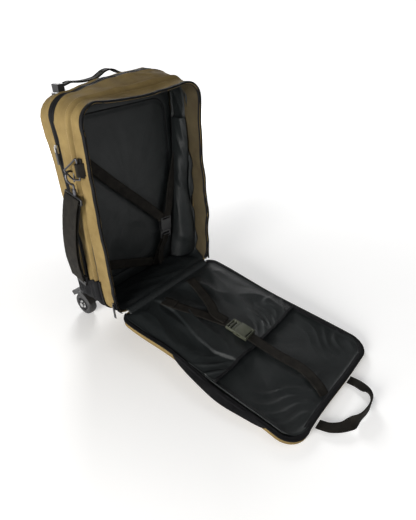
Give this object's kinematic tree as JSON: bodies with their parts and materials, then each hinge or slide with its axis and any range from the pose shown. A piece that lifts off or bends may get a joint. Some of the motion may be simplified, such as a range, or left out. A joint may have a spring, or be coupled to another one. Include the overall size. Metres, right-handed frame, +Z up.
{
  "type": "rolling duffel bag",
  "caption": "Upright soft travel bag on wheels with a pull-out handle, its padded front lid unzipped and folded down to the floor.",
  "frame": {"origin": "on the floor, at the centre of the underside of the foot bar that the bag stands on", "axes": "+Z up, -Y towards the lid laid down in front, +X to the right of a person facing the open front"},
  "size_m": [0.3939, 0.8117, 0.633],
  "materials": {
    "canvas": "coyote tan woven canvas",
    "lining": "black coated nylon lining",
    "webbing": "black woven webbing",
    "black_plastic": "satin black",
    "steel": "nickel-plated",
    "tyre_rubber": "black",
    "olive_plastic": "olive drab"
  },
  "bodies": {
    "bag_body": {"left_side_panel": "canvas", "right_side_panel": "canvas", "top_gusset": "canvas", "bottom_gusset": "canvas", "back_panel": "canvas", "padded_divider": "lining", "divider_webbing_band": "webbing", "side_pocket": "lining", "strap_upper_left": "webbing", "strap_upper_right": "webbing", "strap_lower": "webbing", "strap_buckle_socket": "black_plastic", "corner_guard_left": "webbing", "corner_guard_right": "webbing", "rear_zipper_chain": "webbing", "main_zipper_chain": "webbing", "foot_bar": "black_plastic", "trolley_back_frame": "black_plastic", "trolley_base_bracket": "black_plastic", "handle_base": "black_plastic", "ring_loop": "webbing", "side_strap": "webbing", "strap_anchor": "black_plastic", "wheel_housing_left": "black_plastic", "axle_bolt_left": "steel", "outer_tube_left": "black_plastic", "wheel_housing_right": "black_plastic", "axle_bolt_right": "steel", "outer_tube_right": "black_plastic"},
    "left_wheel": {"tyre_left": "tyre_rubber", "hub_left": "black_plastic", "bearing_left": "steel"},
    "right_wheel": {"tyre_right": "tyre_rubber", "hub_right": "black_plastic", "bearing_right": "steel"},
    "pull_handle": {"inner_tube_left": "steel", "inner_tube_right": "steel", "trolley_grip": "black_plastic"},
    "button": {"release_button": "black_plastic"},
    "top_handle": {"carry_handle": "webbing"},
    "ring_and_hook": {"triangle_ring": "steel", "snap_hook": "steel", "strap_loop": "black_plastic"},
    "gate": {"hook_gate": "steel"},
    "lid": {"lid_panel": "canvas", "lid_rim": "canvas", "lid_lining": "lining", "lid_pocket": "lining", "lid_strap_near": "webbing", "lid_strap_far": "webbing", "lid_buckle_socket": "olive_plastic"},
    "lid_latch": {"lid_buckle_latch": "olive_plastic"},
    "lid_grab_handle": {"lid_handle": "webbing"},
    "strap_latch": {"strap_buckle_latch": "black_plastic"},
    "main_zipper_left_slider_body": {"main_zipper_left_slider": "steel"},
    "main_zipper_left_pull_body": {"main_zipper_left_pull": "black_plastic"},
    "main_zipper_right_slider_body": {"main_zipper_right_slider": "steel"},
    "main_zipper_right_pull_body": {"main_zipper_right_pull": "black_plastic"},
    "rear_zipper_slider_body": {"rear_zipper_slider": "steel"},
    "rear_zipper_pull_body": {"rear_zipper_pull": "black_plastic"}
  },
  "joints": [
    {"name": "lid_hinge", "type": "hinge", "parent": "bag_body", "child": "lid", "pos_m": [0, -0.062, 0.086], "axis": [-1, 0, 0], "range_deg": [0, 97.5]},
    {"name": "lid_handle_fold", "type": "hinge", "parent": "lid", "child": "lid_grab_handle", "pos_m": [0, -0.57823, 0.00795], "axis": [-1, 0, 0], "range_deg": [0, 70]},
    {"name": "lid_buckle_release", "type": "slide", "parent": "lid", "child": "lid_latch", "axis": [0, 0.9914, 0.1305], "range_m": [0, 0.026], "deforming": ["lid_strap_near"]},
    {"name": "left_wheel_spin", "type": "hinge", "parent": "bag_body", "child": "left_wheel", "pos_m": [-0.152, 0.124, 0.033], "axis": [1, 0, 0], "continuous": true},
    {"name": "right_wheel_spin", "type": "hinge", "parent": "bag_body", "child": "right_wheel", "pos_m": [0.152, 0.124, 0.033], "axis": [1, 0, 0], "continuous": true},
    {"name": "pull_handle_slide", "type": "slide", "parent": "bag_body", "child": "pull_handle", "axis": [0, 0, 1], "range_m": [0, 0.4]},
    {"name": "release_button_press", "type": "slide", "parent": "pull_handle", "child": "button", "axis": [0, 0, -1], "range_m": [0, 0.004], "stiffness_N_per_m": 400},
    {"name": "carry_handle_fold", "type": "hinge", "parent": "bag_body", "child": "top_handle", "pos_m": [0, 0.086, 0.615], "axis": [1, 0, 0], "range_deg": [-60, 35]},
    {"name": "ring_swing", "type": "hinge", "parent": "bag_body", "child": "ring_and_hook", "pos_m": [-0.189, -0.036, 0.469], "axis": [0, 0, 1], "range_deg": [0, 25], "deforming": ["side_strap"]},
    {"name": "hook_gate_swing", "type": "hinge", "parent": "ring_and_hook", "child": "gate", "pos_m": [-0.1882, -0.01, 0.436], "axis": [0, -1, 0], "range_deg": [0, 20], "stiffness_Nm_per_rad": 0.02},
    {"name": "strap_buckle_release", "type": "slide", "parent": "bag_body", "child": "strap_latch", "axis": [0, 0, -1], "range_m": [0, 0.026], "deforming": ["strap_lower"]},
    {"name": "main_zipper_left_travel", "type": "slide", "parent": "bag_body", "child": "main_zipper_left_slider_body", "axis": [0, 0, 1], "range_m": [0, 0.42]},
    {"name": "main_zipper_left_pull_swing", "type": "hinge", "parent": "main_zipper_left_slider_body", "child": "main_zipper_left_pull_body", "pos_m": [-0.18185, -0.054, 0.1161], "axis": [0, 1, 0], "range_deg": [0, 20]},
    {"name": "main_zipper_right_travel", "type": "slide", "parent": "bag_body", "child": "main_zipper_right_slider_body", "axis": [0, 0, 1], "range_m": [0, 0.42]},
    {"name": "main_zipper_right_pull_swing", "type": "hinge", "parent": "main_zipper_right_slider_body", "child": "main_zipper_right_pull_body", "pos_m": [0.18185, -0.054, 0.1161], "axis": [0, -1, 0], "range_deg": [0, 20]},
    {"name": "rear_zipper_travel", "type": "slide", "parent": "bag_body", "child": "rear_zipper_slider_body", "axis": [0, 0, 1], "range_m": [-0.29, 0.04]},
    {"name": "rear_zipper_pull_swing", "type": "hinge", "parent": "rear_zipper_slider_body", "child": "rear_zipper_pull_body", "pos_m": [-0.18185, 0.048, 0.4971], "axis": [0, 1, 0], "range_deg": [0, 20]}
  ]
}
